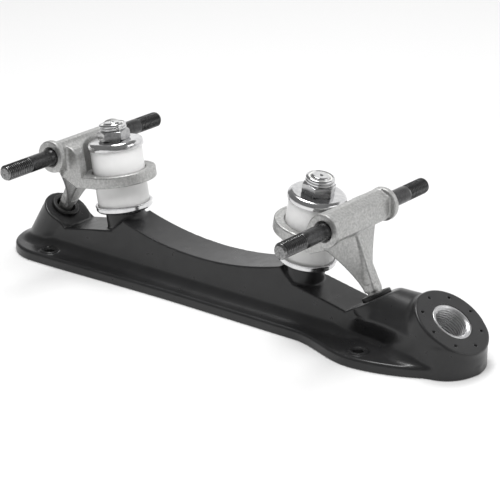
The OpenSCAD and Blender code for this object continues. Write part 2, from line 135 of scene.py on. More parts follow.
# %% [markdown]
# ## From arrays to a mesh
# A piece is a table of points and a table of faces. foreach_set copies whole tables at once, which is
# much faster than adding points one by one. Points that fall together, as at the tip of a bar, are
# welded. Edges that bend a lot are marked sharp, so flats stay flat in the light.

# %% Mesh maker
WELD_DISTANCE = 1e-7


def new_mesh(name, points, faces):
    """A mesh from points in millimetres and quads; a negative volume turns the faces over."""
    points = np.asarray(points, float).reshape(-1, 3)*MM
    faces = np.asarray(faces, np.int32)
    corners = points[faces[:, :3]]
    volume = np.einsum("ij,ij->i", corners[:, 0], np.cross(corners[:, 1], corners[:, 2])).sum()
    faces = faces if volume > 0 else faces[:, ::-1]
    mesh = bpy.data.meshes.new(name)
    mesh.vertices.add(len(points))
    mesh.vertices.foreach_set("co", points.ravel())
    mesh.loops.add(faces.size)
    mesh.loops.foreach_set("vertex_index", np.ascontiguousarray(faces).ravel())
    mesh.polygons.add(len(faces))
    mesh.polygons.foreach_set("loop_start", np.arange(0, faces.size, faces.shape[1], dtype=np.int32))
    mesh.update(calc_edges=True)
    return mesh


def weld(mesh):
    """Joins points that fall together, so that a ring of radius nought becomes one point."""
    work = bmesh.new()
    work.from_mesh(mesh)
    bmesh.ops.remove_doubles(work, verts=work.verts, dist=WELD_DISTANCE)
    work.to_mesh(mesh)
    work.free()


def grid_faces(rows, columns, wrap_rows=False):
    """Quads between neighbours of a rows by columns grid whose columns always close into a ring."""
    i = np.arange(rows if wrap_rows else rows - 1)[:, None]
    j = np.arange(columns)[None, :]
    i2, j2 = (i + 1) % rows, (j + 1) % columns
    quads = np.stack([i*columns + j, i2*columns + j, i2*columns + j2, i*columns + j2], -1)
    return quads.reshape(-1, 4)


print("mesh maker ready")

# %% A piece in place of a node
def add_piece(name, points, faces, material, body, node, sharp=35.0, normals=None):
    """A smooth piece in place of a node; edges that bend by over sharp degrees stay sharp, if no normals
    are given. A piece with no body is attached to none.
    """
    mesh = new_mesh(name, points, faces)
    if normals is None:
        weld(mesh)
    mesh.polygons.foreach_set("use_smooth", np.ones(len(mesh.polygons), bool))
    if normals is None:
        mesh.set_sharp_from_angle(angle=radians(sharp))
    else:
        mesh.normals_split_custom_set_from_vertices(normals)
    mesh.materials.append(material)
    piece = add_object(name, mesh)
    if body:
        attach(piece, body)
    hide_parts(node)
    return piece


def touch_up(piece, material, chosen):
    """Gives a second finish to the faces whose centres, in millimetres, pass the test chosen(x, y, z)."""
    polygons = piece.data.polygons
    centres = np.empty(len(polygons)*3)
    polygons.foreach_get("center", centres)
    x, y, z = centres.reshape(-1, 3).T/MM
    piece.data.materials.append(material)
    polygons.foreach_set("material_index", chosen(x, y, z).astype(np.int32))


# %% [markdown]
# ## Finishes
# A finish could be one flat colour, but a real surface is never the same all over: its shade drifts, its
# polish has duller spots and its skin is a little wavy. So each finish is a small node tree of noises
# on Object coordinates. The grain then has a real size in millimetres, and it stays on the piece.

# %% Node helpers
def finish(name, colour, roughness, metallic=0.0, **sockets):
    """A material with one Principled shader, whose constant values sit on its own sockets."""
    material = bpy.data.materials.new(name)
    material.use_nodes = True
    shader = material.node_tree.nodes["Principled BSDF"]
    shader.inputs["Base Color"].default_value = (*colour, 1.0)
    shader.inputs["Roughness"].default_value = roughness
    shader.inputs["Metallic"].default_value = metallic
    for key, value in sockets.items():
        shader.inputs[key.replace("_", " ")].default_value = value
    return material


def noise(material, size, detail=4.0):
    """Noise on Object coordinates whose blobs are about size millimetres wide."""
    nodes, links = material.node_tree.nodes, material.node_tree.links
    where = nodes.new("ShaderNodeTexCoord")
    grain = nodes.new("ShaderNodeTexNoise")
    grain.inputs["Scale"].default_value = 1.0/(size*MM)
    grain.inputs["Detail"].default_value = detail
    links.new(where.outputs["Object"], grain.inputs["Vector"])
    return grain.outputs["Fac"]


def drive(material, socket, source):
    """Feeds a shader socket from a node."""
    material.node_tree.links.new(source, material.node_tree.nodes["Principled BSDF"].inputs[socket])


def vary(material, socket, source, low, high, spread=(0.3, 0.7)):
    """Lets a socket run from low to high, two greys or two colours, as the source rises."""
    node = material.node_tree.nodes.new("ShaderNodeValToRGB")
    for element, place, value in zip(node.color_ramp.elements, spread, (low, high)):
        element.position = place
        element.color = (*(value if np.ndim(value) else (value,)*3), 1.0)
    material.node_tree.links.new(source, node.inputs["Fac"])
    drive(material, socket, node.outputs["Color"])


def relief(material, source, strength, depth, under=None):
    """Bump from a height pattern; depth is in millimetres, and under is a bump that it adds to."""
    node = material.node_tree.nodes.new("ShaderNodeBump")
    node.inputs["Strength"].default_value = strength
    node.inputs["Distance"].default_value = depth*MM
    material.node_tree.links.new(source, node.inputs["Height"])
    if under is not None:
        material.node_tree.links.new(under, node.inputs["Normal"])
    return node.outputs["Normal"]


print("node helpers ready")

# %% [markdown]
# ## Black nylon and rubber
# The plate comes from a polished mould: very dark, with a clear sheen that mirrors the room. Its skin
# has slow waves and a fine grain, which are two bumps, one added to the other. The rubber is duller.

# %% Black moulded nylon and black rubber
nylon = finish("black_nylon", (0.016, 0.016, 0.0165), 0.3, Specular_IOR_Level=0.42)
vary(nylon, "Base Color", noise(nylon, 9.0), (0.014, 0.014, 0.0145), (0.018, 0.018, 0.0185))
vary(nylon, "Roughness", noise(nylon, 5.0, 6.0), 0.27, 0.35)
nylon_flow = relief(nylon, noise(nylon, 7.0, 1.0), 0.1, 0.08)
drive(nylon, "Normal", relief(nylon, noise(nylon, 0.5, 2.0), 0.06, 0.012, nylon_flow))

rubber = finish("black_rubber", (0.008, 0.008, 0.008), 0.5)
vary(rubber, "Roughness", noise(rubber, 1.5), 0.42, 0.6)
drive(rubber, "Normal", relief(rubber, noise(rubber, 0.3), 0.3, 0.02))
print("made", nylon.name, "and", rubber.name)

# %% [markdown]
# ## Aluminium
# The hangers are tumbled castings: grey, dull and grainy, with a pitted skin over a coarser unevenness.
# The insert for the toe stop is turned from a bar, so it is smoother and brighter.

# %% Cast aluminium and machined aluminium
casting = finish("cast_aluminium", (0.55, 0.55, 0.54), 0.5, 0.85)
vary(casting, "Base Color", noise(casting, 1.1, 6.0), (0.375, 0.375, 0.37), (0.59, 0.59, 0.58),
     (0.28, 0.72))
vary(casting, "Roughness", noise(casting, 0.8, 5.0), 0.38, 0.58)
casting_flow = relief(casting, noise(casting, 3.2, 2.0), 0.25, 0.12)
drive(casting, "Normal", relief(casting, noise(casting, 0.55, 4.0), 0.4, 0.05, casting_flow))

machined = finish("machined_aluminium", (0.55, 0.55, 0.56), 0.26, 1.0)
vary(machined, "Base Color", noise(machined, 1.2), (0.52, 0.52, 0.53), (0.66, 0.66, 0.66))
vary(machined, "Roughness", noise(machined, 1.5), 0.32, 0.42)
print("made", casting.name, "and", machined.name)

# %% [markdown]
# ## Plated and blackened steel
# Washers, kingpins and the nuts' collars are bright zinc. The nuts' flats get a darker copy of it, which
# is painted shade for the dark room that they mirror. The axles have a black oxide skin. Their cut tips
# and the crests of their threads get a lighter steel: partly bare steel where the skin is cut or worn off,
# partly a painted highlight.

# %% Bright zinc, a darker zinc as painted shade, black oxide, and cut steel with a painted highlight
zinc = finish("bright_zinc", (0.74, 0.74, 0.75), 0.12, 1.0)
vary(zinc, "Base Color", noise(zinc, 3.0), (0.62, 0.62, 0.63), (0.74, 0.74, 0.74))
vary(zinc, "Roughness", noise(zinc, 1.2, 5.0), 0.12, 0.2)
drive(zinc, "Normal", relief(zinc, noise(zinc, 1.6, 2.0), 0.03, 0.03))

# A darker copy of the zinc for the nuts' flats: painted shade for the dark room that they mirror.
shaded_zinc = finish("shaded_zinc", (0.42, 0.42, 0.43), 0.2, 1.0)
vary(shaded_zinc, "Base Color", noise(shaded_zinc, 2.0), (0.36, 0.36, 0.37), (0.5, 0.5, 0.5))
vary(shaded_zinc, "Roughness", noise(shaded_zinc, 1.0, 5.0), 0.15, 0.27)

oxide = finish("black_oxide", (0.07, 0.07, 0.071), 0.3, 0.85)
vary(oxide, "Base Color", noise(oxide, 2.0, 4.0), (0.05, 0.05, 0.051), (0.09, 0.09, 0.091))
vary(oxide, "Roughness", noise(oxide, 1.4, 4.0), 0.24, 0.36)
drive(oxide, "Normal", relief(oxide, noise(oxide, 0.5, 2.0), 0.08, 0.015))

# Lighter steel for the tips and the crests of the thread: bare steel, and a painted highlight as well.
cut_steel_and_glint = finish("cut_steel_and_glint", (0.24, 0.24, 0.24), 0.33, 1.0)
vary(cut_steel_and_glint, "Base Color", noise(cut_steel_and_glint, 0.9), (0.14, 0.14, 0.14), (0.36, 0.36, 0.36))
print("made", zinc.name, shaded_zinc.name, oxide.name, cut_steel_and_glint.name)

# %% [markdown]
# ## Urethane
# Light goes into milky urethane and comes out again near by, which softens all shading, so the shader
# scatters some light under the skin. The lower cushions get a greyer copy of it, which is painted shade
# for the shadow of the ring above them.

# %% Milky urethane and locking nylon
def urethane_finish(name, colour, low, high, scatter):
    """A white that drifts from low to high in 7 mm clouds, with a share of light scattered within 3 mm."""
    material = finish(name, colour, 0.3, Subsurface_Weight=scatter, Subsurface_Scale=0.003,
                      Subsurface_Radius=(1.0, 1.0, 1.0))
    vary(material, "Base Color", noise(material, 7.0), low, high)
    drive(material, "Normal", relief(material, noise(material, 2.0, 2.0), 0.08, 0.05))
    return material


urethane = urethane_finish("milky_urethane", (0.95, 0.947, 0.94),
                           (0.93, 0.928, 0.922), (0.97, 0.967, 0.96), 0.12)
# A greyer copy for the lower cushions: painted shade from the ring above them.
shaded_urethane = urethane_finish("shaded_urethane", (0.82, 0.817, 0.81),
                                (0.79, 0.788, 0.78), (0.85, 0.847, 0.84), 0.3)
lock_nylon = finish("lock_nylon", (0.6, 0.6, 0.58), 0.45)
vary(lock_nylon, "Base Color", noise(lock_nylon, 1.2), (0.5, 0.5, 0.49), (0.68, 0.68, 0.66))
print("made", urethane.name, shaded_urethane.name, lock_nylon.name)

# %% [markdown]
# ## Fields for the moulded and cast pieces
# A moulding has no single grid: walls, bosses and coves run into each other through round fillets.
# Boolean cuts and bevels could make it, but bevels break where many of them meet. So the plate and the
# hangers are fields: a number at every point in space that is negative inside and about the distance to
# the surface outside. Two shapes join or cut each other with a fillet by one line of arithmetic.

# %% Joining and cutting fields
def joined(a, b, r):
    """Union with a fillet of radius r in its inner corner: a quarter circle that touches both surfaces."""
    return np.maximum(r, np.minimum(a, b)) - np.hypot(np.maximum(r - a, 0.0), np.maximum(r - b, 0.0))


def common(a, b, r):
    """Overlap of two shapes, with its outer corner rounded to radius r."""
    return np.minimum(-r, np.maximum(a, b)) + np.hypot(np.maximum(r + a, 0.0), np.maximum(r + b, 0.0))


def without(a, b, r):
    """Shape a less shape b, with the new edge rounded to radius r."""
    return common(a, -b, r)


def outline_field(u, v, corners):
    """Signed distance in a plane to a polygon: the least distance to its sides, negative inside."""
    best = np.full(np.shape(u), 1e9)
    inside = np.zeros(np.shape(u), bool)
    for (u0, v0), (u1, v1) in zip(corners, np.roll(corners, -1, axis=0)):
        du, dv = u1 - u0, v1 - v0
        t = np.clip(((u - u0)*du + (v - v0)*dv)/(du*du + dv*dv), 0.0, 1.0)
        best = np.minimum(best, (u - u0 - t*du)**2 + (v - v0 - t*dv)**2)
        inside ^= ((v0 > v) != (v1 > v)) & (u < u0 + (v - v0)*du/(dv if dv else 1e-9))
    return np.where(inside, -1.0, 1.0)*np.sqrt(best)


print("field helpers ready")

# %% [markdown]
# ## From a field to a mesh
# The field is sampled on a grid of boxes. Every box that the surface passes through gets one point, and
# every grid edge that crosses the surface gets one quad between its four boxes. The point is put where
# the tangent planes of the box's crossings meet, which keeps edges crisp. The light also needs the
# direction of the surface at each point, which is the way the field grows.

# %% Where the surface crosses the grid
def slope_of(field, p, h=0.03):
    """Direction in which the field grows fastest, by central differences, as unit vectors."""
    g = np.stack([field(*(p + s).T) - field(*(p - s).T) for s in np.eye(3)*h], -1)
    return g/np.maximum(np.linalg.norm(g, axis=-1, keepdims=True), 1e-9)


def crossings(value, axes, axis):
    """Grid edges along one axis whose ends have different signs: their index, point and first sign."""
    low, high = [slice(None)]*3, [slice(None)]*3
    low[axis], high[axis] = slice(None, -1), slice(1, None)
    edge = np.argwhere((value[tuple(low)] < 0) != (value[tuple(high)] < 0))
    far = edge + np.eye(3, dtype=int)[axis]
    v0, v1 = value[tuple(edge.T)], value[tuple(far.T)]
    p = np.stack([axes[d][edge[:, d]] for d in range(3)], -1).astype(float)
    p[:, axis] += (axes[axis][far[:, axis]] - p[:, axis])*v0/(v0 - v1)
    return edge, p, v0 < 0


def stations(*marks):
    """Grid positions from (start, step) marks: each step holds from its start to the next one's start."""
    parts = [np.arange(a, b, step) for (a, step), (b, _) in zip(marks, marks[1:])]
    return np.concatenate(parts + [[marks[-1][0]]])


print("steps of 1 and 2:", stations((0.0, 1.0), (2.0, 2.0), (6.0, 1.0)))

# %% Contouring
SLABS, PULL = 12, 0.06
AROUND_EDGE = ((-1, -1), (0, -1), (0, 0), (-1, 0))


def contour(field, axes):
    """Points, quads and normals of the field's zero level on a grid of three axes.

    A box's point p makes the sum of (n.(p - q)) squared over its crossings q the least, with a small pull
    towards their mean that keeps flat boxes steady.
    """
    value = np.concatenate([field(*np.meshgrid(part, axes[1], axes[2], indexing="ij"))
                            for part in np.array_split(axes[0], SLABS)])
    shape = np.array(value.shape) - 1
    corner = [value[i:i + shape[0], j:j + shape[1], k:k + shape[2]] < 0
              for i in (0, 1) for j in (0, 1) for k in (0, 1)]
    crossed = np.logical_or.reduce(corner) & ~np.logical_and.reduce(corner)
    index = np.argwhere(crossed)
    number = np.full(crossed.shape, -1)
    number[crossed] = np.arange(len(index))
    planes, heights = np.zeros((len(index), 3, 3)), np.zeros((len(index), 3))
    middle, hits = np.zeros((len(index), 3)), np.zeros((len(index), 1))
    quads = []
    for axis in range(3):
        edge, p, leaves = crossings(value, axes, axis)
        n = slope_of(field, p)
        around = []
        for db, dc in AROUND_EDGE:
            cells = number[tuple((edge + np.roll([0, db, dc], axis)).T)]
            np.add.at(planes, cells, n[:, :, None]*n[:, None, :])
            np.add.at(heights, cells, n*(n*p).sum(1, keepdims=True))
            np.add.at(middle, cells, p)
            np.add.at(hits, cells, 1.0)
            around.append(cells)
        quad = np.stack(around, -1)
        quads.append(np.where(leaves[:, None], quad, quad[:, ::-1]))
    middle /= hits
    pull = PULL*hits
    right_side = (heights + pull*middle)[..., None]
    points = np.linalg.solve(planes + pull[:, :, None]*np.eye(3), right_side)[..., 0]
    low = np.stack([axes[d][index[:, d]] for d in range(3)], -1)
    high = np.stack([axes[d][index[:, d] + 1] for d in range(3)], -1)
    points = np.clip(points, low, high)
    return points, np.concatenate(quads), slope_of(field, points)


print("contouring ready")

# %% [markdown]
# ## The sole plate
# The plate is one moulding: a flat flange that follows the boot's sole, a spine with a saddle between
# the two kingpin bosses, sloping sockets for the pivots and a big round boss for the toe stop. On the
# real one the spine stands on the flange with a wide cove, and the toe swells like a cone to the boss.

# %% Plan of the flange
HEEL_END, HEEL_R, TOE_END, TOE_POWER = -126.0, 24.5, 156.9, 1.65
SWELL, BALL_HALF, WAIST_HALF, WAIST_RUN = (66.0, 104.0), 31.3, 21.5, 100.0


def ease(t):
    """S-curve from 0 to 1: t squared times (3 less 2t)."""
    t = np.clip(t, 0.0, 1.0)
    return t*t*(3 - 2*t)


def plan_field(x, y):
    """Level distance to the flange's edge: a circle at the heel, an S along the side, an oval at the toe.

    The oval is (x/a)^p + (y/b)^p = 1, and its own steepness turns its value into a distance.
    """
    heel_mid = HEEL_END + HEEL_R
    swell_run, toe_run = SWELL[1] - SWELL[0], TOE_END - SWELL[1]
    t = np.clip((x - SWELL[0])/swell_run, 0.0, 1.0)
    half = HEEL_R + (WAIST_HALF - HEEL_R)*ease((x - heel_mid)/WAIST_RUN)
    half = half + (BALL_HALF - WAIST_HALF)*ease(t)
    rise = 6*t*(1 - t)*(BALL_HALF - WAIST_HALF)/swell_run
    side = (y - half)/np.sqrt(1 + rise*rise)
    heel = np.hypot(x - heel_mid, y) - HEEL_R
    u, v = np.maximum(x - SWELL[1], 1e-6)/toe_run, np.maximum(y, 1e-6)/BALL_HALF
    g = (u**TOE_POWER + v**TOE_POWER)**(1/TOE_POWER)
    steep = np.hypot((u/g)**(TOE_POWER - 1)/toe_run, (v/g)**(TOE_POWER - 1)/BALL_HALF)
    toe = (g - 1)/np.maximum(steep, 1e-4)
    return np.where(x < heel_mid, heel, np.where(x > SWELL[1], toe, side))


print("flange from", HEEL_END, "to", TOE_END, "mm")

# %% Side view of the spine
VALLEY, DECK_STEP, SLOPE_Z, SLOPE_END = (88.914, 16.986), 6.0, 23.167, (115.0, 9.5)
SADDLE_LOW, SADDLE_HIGH, SADDLE_HALF = 22.3, 29.7, 49.7


def spine_top(x):
    """Height of the spine: a parabola in the saddle, then shoulder, deck and the slope to the socket."""
    a = np.abs(x)
    saddle = SADDLE_LOW + (SADDLE_HIGH - SADDLE_LOW)*(a/SADDLE_HALF)**2
    ends = np.interp(a, [SADDLE_HALF, KING[0], VALLEY[0], MOUTH[0], SLOPE_END[0]],
                     [SADDLE_HIGH, VALLEY[1] + DECK_STEP, VALLEY[1], SLOPE_Z, SLOPE_Z + SLOPE_END[1]])
    return np.where(a < SADDLE_HALF, saddle, ends)


print("saddle falls to", SADDLE_LOW, "mm")

# %% Ledge at the toe and the hollow under it
LEDGE_START, LEDGE_RUN, LEDGE_MOST = 90.0, 51.0, 1.3
LEDGE_Z, LEDGE_CROWN = 16.6, 2.2
SCOOP_DEPTH, SCOOP_LIP, SCOOP_FOOT = 2.5, 0.5, 5.0
SCOOP_IN, SCOOP_KEEP, SCOOP_OUT = 0.14, 0.5, 0.45


def ledge(x):
    """Way along the toe, t, and the height of the ledge there: a half sine of t on a level line."""
    t = np.clip((x - LEDGE_START)/LEDGE_RUN, 0.0, LEDGE_MOST)
    return t, LEDGE_Z + LEDGE_CROWN*np.sin(pi*np.minimum(t, 1.0))


def scoop(x, z):
    """Depth of the hollow under the ledge: an S-curve down the wall that fades out at both its ends."""
    t, height = ledge(x)
    reach = ease(t/SCOOP_IN)*(1 - ease((t - SCOOP_KEEP)/SCOOP_OUT))
    return SCOOP_DEPTH*reach*ease((height + SCOOP_LIP - z)/(height - SCOOP_FOOT))


print("hollow at the toe:", SCOOP_DEPTH, "mm deep")

# %% Spine, kingpin bosses and pivot blocks
SPINE_HALF, SPINE_SPREAD, SPINE_RISE, SPINE_SLANT = 10.5, 1.3, 21.0, 0.95
BOSS_R, BLOCK_R, BLOCK_BACK = 10.0, 12.5, 2.2


def spine_field(x, y, z):
    """Drafted walls cut by the side view; the slope's own steepness turns heights into distances."""
    steep = (spine_top(x + 0.2) - spine_top(x - 0.2))/0.4
    top = (z - spine_top(x))/np.sqrt(1 + steep*steep)
    wall = SPINE_SLANT*(y - SPINE_HALF - SPINE_SPREAD*(KING[1] - z)/SPINE_RISE + scoop(x, z))
    end = along(np.abs(x), z, *PIVOT_AXIS)[1] + BLOCK_BACK
    return common(common(wall, top, 0.6), end, 0.3)


def kingpin_boss(x, y, z):
    """Round boss that leans with the kingpin and ends at its seat: a cylinder cut off square."""
    s, q = along(x, z, *KING_AXIS)
    return common(np.hypot(q, y) - BOSS_R, s, 0.5)


def pivot_block(x, y, z):
    """Round block along the pivot's axis, set downhill of it, cut off square at the socket's mouth."""
    s, q = along(x, z, *PIVOT_AXIS)
    return common(np.hypot(q + BLOCK_BACK, y) - BLOCK_R, s, 0.7)


print("kingpin bosses:", 2*BOSS_R, "mm across")

# %% Toe body
CONE_START, CONE_END, CONE_SLANT = np.array([100.0, 20.9, 9.6]), np.array([135.0, 12.8, 17.8]), 0.975
TOE_HALF, TOE_STEP, TOE_SPREAD, TOE_DRAFT, TOE_SLANT = 11.35, 0.65, 7.2, 0.08, 0.93
NOSE_R, NOSE_SQUEEZE, NOSE_SLANT, TOE_BACK = 19.2, 1.22, 0.92, 88.0
TOE_BOSS_R, TOE_BOSS_DEPTH = 19.3, 38.0


def cone_field(x, y, z):
    """Round bar that swells along its middle line: distance to the line less the radius at that place."""
    step = CONE_END - CONE_START
    t = ((x - CONE_START[0])*step[0] + (z - CONE_START[1])*step[1])/(step[:2]**2).sum()
    t = np.clip(t, 0.0, 1.0)
    u, w = x - CONE_START[0] - t*step[0], z - CONE_START[1] - t*step[1]
    return CONE_SLANT*(np.sqrt(u*u + y*y + w*w) - CONE_START[2] - t*step[2])


def toe_field(x, y, z):
    """Spreading side walls, the cone over them and the boss, joined; and the height over its face."""
    s, q = along(x, z, *TOE_AXIS)
    t, height = ledge(x)
    half = TOE_HALF + TOE_STEP*ease(t/0.3) + TOE_SPREAD*t*t
    draft = TOE_DRAFT*(1 - ease((t - 0.6)/0.4))*np.maximum(height - z, 0.0)
    side = TOE_SLANT*(y - half - draft + scoop(x, z))
    nose = NOSE_SLANT*(np.hypot(np.maximum(x - TOE[0], 0.0)*NOSE_SQUEEZE, y) - NOSE_R)
    walls = common(common(side, nose, 2.0), z - height, 2.5)
    walls = np.maximum(walls, TOE_BACK - x)
    boss = np.maximum(np.hypot(q, y) - TOE_BOSS_R, -TOE_BOSS_DEPTH - s)
    return joined(joined(walls, cone_field(x, y, z), 3.5), boss, 1.6), s


print("toe boss leans", round(np.degrees(TOE_LEAN)), "degrees")

# %% Holes of the plate
BOLTS, BOLT_R, BOLT_SINK_R, BOLT_PAD_R, BOLT_PAD_Z = ((-94.5, 17.5), (105.0, 23.0)), 2.6, 3.5, 5.0, 5.8
KING_BORE_R, HEAD_SEAT_HALF, HEAD_SEAT_TOP = 4.86, 7.25, -24.3
SOCKET_R, SOCKET_DEPTH = 6.5, 11.0
INSERT_R, INSERT_DEPTH, STEM_R = 10.0, 16.0, 8.5
DIMPLE_TURNS, DIMPLE_RING, DIMPLE_R, DIMPLE_DEPTH = np.radians([0, 45, 90, 135, 180]), 15.5, 0.8, 0.8


def hexagon_field(u, v, half):
    """Largest of the three distances across the flats of a hexagon with flats square to the v axis."""
    w = np.sqrt(0.75)
    return np.maximum(np.abs(v), np.maximum(np.abs(w*u + 0.5*v), np.abs(w*u - 0.5*v))) - half


def plate_holes(solid, x, y, z):
    """Cuts the bolt holes, kingpin bores with their hexagon seats, pivot sockets, toe bore and dimples."""
    for bx, by in BOLTS:
        r = np.hypot(x - bx, y - by)
        solid = joined(solid, common(r - BOLT_PAD_R, z - BOLT_PAD_Z, 0.4), 0.6)
        sink = r - BOLT_SINK_R + np.maximum(BOLT_PAD_Z - z, 0.0)
        solid = without(solid, np.minimum(r - BOLT_R, sink), 0.2)
    for end, turn in ENDS:
        s, q = along(turn*x, z, *KING_AXIS)
        head = np.maximum(hexagon_field(q, y, HEAD_SEAT_HALF), s - HEAD_SEAT_TOP)
        solid = without(solid, np.minimum(np.hypot(q, y) - KING_BORE_R, head), 0.25)
        s, q = along(turn*x, z, *PIVOT_AXIS)
        solid = without(solid, np.maximum(np.hypot(q, y) - SOCKET_R, -SOCKET_DEPTH - s), 0.3)
    s, q = along(x, z, *TOE_AXIS)
    r = np.hypot(q, y)
    solid = without(solid, np.minimum(np.maximum(r - INSERT_R, -INSERT_DEPTH - s), r - STEM_R), 0.25)
    for angle in DIMPLE_TURNS:
        dimple = np.hypot(q - DIMPLE_RING*cos(angle), y - DIMPLE_RING*sin(angle)) - DIMPLE_R
        solid = without(solid, np.maximum(dimple, -DIMPLE_DEPTH - s), 0.15)
    return solid


print("holes:", 2*len(BOLTS), "for bolts,", 2*len(DIMPLE_TURNS) - 2, "dimples round the toe stop")

# %% Whole plate
FLANGE_Z = 5.0
COVE_X = [-112.0, -98.0, 82.0, 97.0, 112.0, 126.0, 132.0, 150.0]
COVE_R = [4.0, 6.0, 6.0, 2.5, 2.5, 5.0, 5.0, 0.6]


def plate_field(x, y, z):
    """Flange, spine, blocks, toe and bosses joined with fillets, then cut by holes and the boot face."""
    y = np.abs(y)
    flange = common(plan_field(x, y), z - FLANGE_Z, 1.5)
    toe, face = toe_field(x, y, z)
    toe = joined(toe, pivot_block(x, y, z) + scoop(x, z), 1.0)
    toe = common(toe, along(x, z, *PIVOT_AXIS)[0], 0.7)
    body = joined(np.minimum(spine_field(x, y, z), toe), pivot_block(-x, y, z), 0.8)
    solid = common(joined(flange, body, np.interp(x, COVE_X, COVE_R)), face, 1.0)
    solid = joined(solid, np.minimum(kingpin_boss(x, y, z), kingpin_boss(-x, y, z)), 1.2)
    return common(plate_holes(solid, x, y, z), -z, 0.5)


coarse = 1.0
plate_axes = [stations((-128.0, 0.72*coarse), (-80.0, 1.2*coarse), (80.0, 0.72*coarse),
                       (125.0, 0.52*coarse), (159.5, 1)),
              stations((-33.0, 0.64*coarse), (33.0, 1)),
              stations((-1.0, 0.64*coarse), (40.0, 1))]
points, faces, normals = contour(plate_field, plate_axes)
points = np.clip(points, [HEEL_END, -BALL_HALF, 0.0], [TOE_END, BALL_HALF, KING[1]])
add_piece("sole_plate", points, faces, nylon, "base", "plate", normals=normals)
print("plate:", len(points), "points", 2*len(faces), "triangles")

# %% [markdown]
# ## The hangers
# The hanger is a sand-rough casting that does three jobs. Its yoke ring is squeezed between the two
# cushions, its bar holds the axle, and its winged arm ends in the ball of the pivot. Cheeks sweep from
# the ring up to the bar. Like the plate it is a field, because every limb runs into the next one.

# %% Ring, cheeks and bar of the hanger
RING_R, RING_MID, RING_HALF, RING_FOOT, RING_TOP = 18.6, 17.7, 2.9, 14.8, 20.6
BAR = np.array([(-5.1, -6.2), (2.4, -6.2), (4.1, -4.5), (4.1, 4.4), (-0.8, 6.7), (-3.0, 6.7), (-5.1, 4.6)])


def ring_field(x, y, z):
    """Flat ring on the kingpin: a cylinder cut off square at its foot and its top."""
    s, q = along(x, z, *KING_AXIS)
    return common(np.hypot(q, y) - RING_R, np.abs(s - RING_MID) - RING_HALF, 0.9)


def king_point(out, up):
    """A point of the X-Z plane, out from the kingpin's axis and up along it."""
    x, _, z = on_axis(np.array([out, 0.0, up]), *KING_AXIS)
    return np.array([x, z])


def cheek_outline():
    """Side view of a cheek: a quarter ellipse from the ring up to the bar, then back along the foot."""
    root, top = king_point(9.2, RING_TOP), np.array([AXLE[0] - 5.9, AXLE[1] + 5.0])
    a = np.linspace(0, pi/2, 9)
    sweep = root + (top - root)*np.stack([1 - np.cos(a), np.sin(a)], -1)
    foot = [(AXLE[0], AXLE[1] + 5.0), (AXLE[0], AXLE[1] - 7.0), (AXLE[0] - 3.0, AXLE[1] - 12.0),
            king_point(13.5, RING_FOOT), king_point(0, RING_FOOT)]
    return np.concatenate([[king_point(0, RING_TOP)], sweep, foot])


CHEEK = cheek_outline()
print("cheek outline:", len(CHEEK), "corners")

# %% Arm and pivot pin of the hanger
ARM_LEAN = atan2(MOUTH[0] - AXLE[0], 53.0 - MOUTH[1])
ARM_FROM, ARM_RUN, ARM_TO = 3.5, 29.3, 36.0
RIB_HALF, RIB_TAPER, WING_SPREAD, WING_POWER, WING_SLANT = 3.5, 1.5, 18.3, 1.4, 0.95
BALL_DEPTH, BALL_R, NECK_R, NECK_MID, NECK_HALF = 5.0, 4.5, 3.5, 0.5, 6.0


def arm_field(x, y, z):
    """A rib that narrows up to the bar, and two wedge-shaped wings that thin out to their curved edges."""
    t, c = along(x, z, MOUTH, -ARM_LEAN)
    u = np.clip((t - ARM_FROM)/ARM_RUN, 0.0, 1.0)
    ends = np.maximum(ARM_FROM - t, t - ARM_TO)
    back = -c - 3.5 - 0.7*u
    faces = np.maximum(c - 2.3 - 0.4*u, back)
    rib = common(common(y - RIB_HALF + RIB_TAPER*u, faces, 0.9), ends, 0.8)
    half = RIB_HALF + WING_SPREAD*u**WING_POWER
    front = WING_SLANT*(c + 2.3 + 0.7*u - (3.6 + 2.2*u)*np.maximum(1 - y/half, 0.0))
    wing = common(common(y - half, np.maximum(front, back), 0.45), ends, 0.5)
    return joined(rib, wing, 0.8)


def pin_field(x, y, z):
    """Neck and ball on the pivot's axis: a cylinder joined to a sphere."""
    s, q = along(x, z, *PIVOT_AXIS)
    r = np.hypot(q, y)
    neck = np.maximum(r - NECK_R, np.abs(s - NECK_MID) - NECK_HALF)
    return joined(np.hypot(r, s + BALL_DEPTH) - BALL_R, neck, 0.8)


print("hanger arm leans", round(np.degrees(ARM_LEAN), 1), "degrees")

# %% Whole hanger
BAR_HALF, COLLAR_R, COLLAR_MID, COLLAR_HALF = 24.6, 8.2, 23.4, 1.6
ROOM_R, SEAT_R, RING_BORE_R = 16.4, 13.7, 7.5
SEATS = ((19.1, 24.0), (8.0, 16.3))
AXLE_BORE_R, AXLE_SINK_R, AXLE_BORE_FROM, COLLAR_END = 4.3, 5.2, 17.0, 25.0


